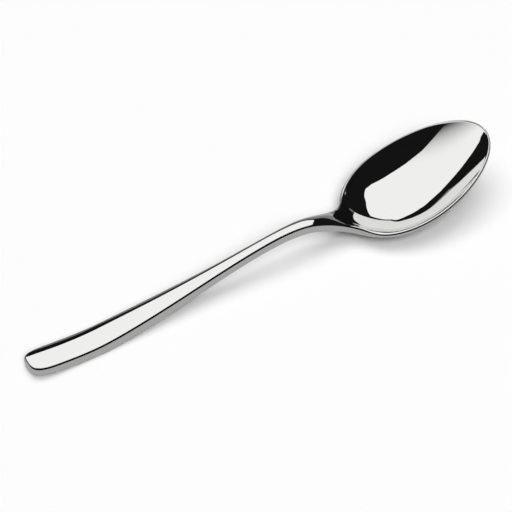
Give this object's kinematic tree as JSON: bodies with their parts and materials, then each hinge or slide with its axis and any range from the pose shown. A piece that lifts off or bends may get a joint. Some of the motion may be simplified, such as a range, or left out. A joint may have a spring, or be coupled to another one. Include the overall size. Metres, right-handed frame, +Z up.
{
  "type": "serving spoon",
  "caption": "Polished stainless steel serving spoon with a deep oval bowl, a forked neck and a slim arched handle.",
  "frame": {"origin": "on the table, under the middle of the spoon's length and width, with the spoon lying on its back as in use", "axes": "+X along the spoon from the end of the handle toward the tip of the bowl, +Y across it, +Z up out of the bowl"},
  "size_m": [0.236, 0.051, 0.0314],
  "materials": {
    "polished_steel": "mirror-polished stainless steel"
  },
  "bodies": {
    "root": {"handle": "polished_steel", "bowl": "polished_steel"}
  },
  "joints": []
}
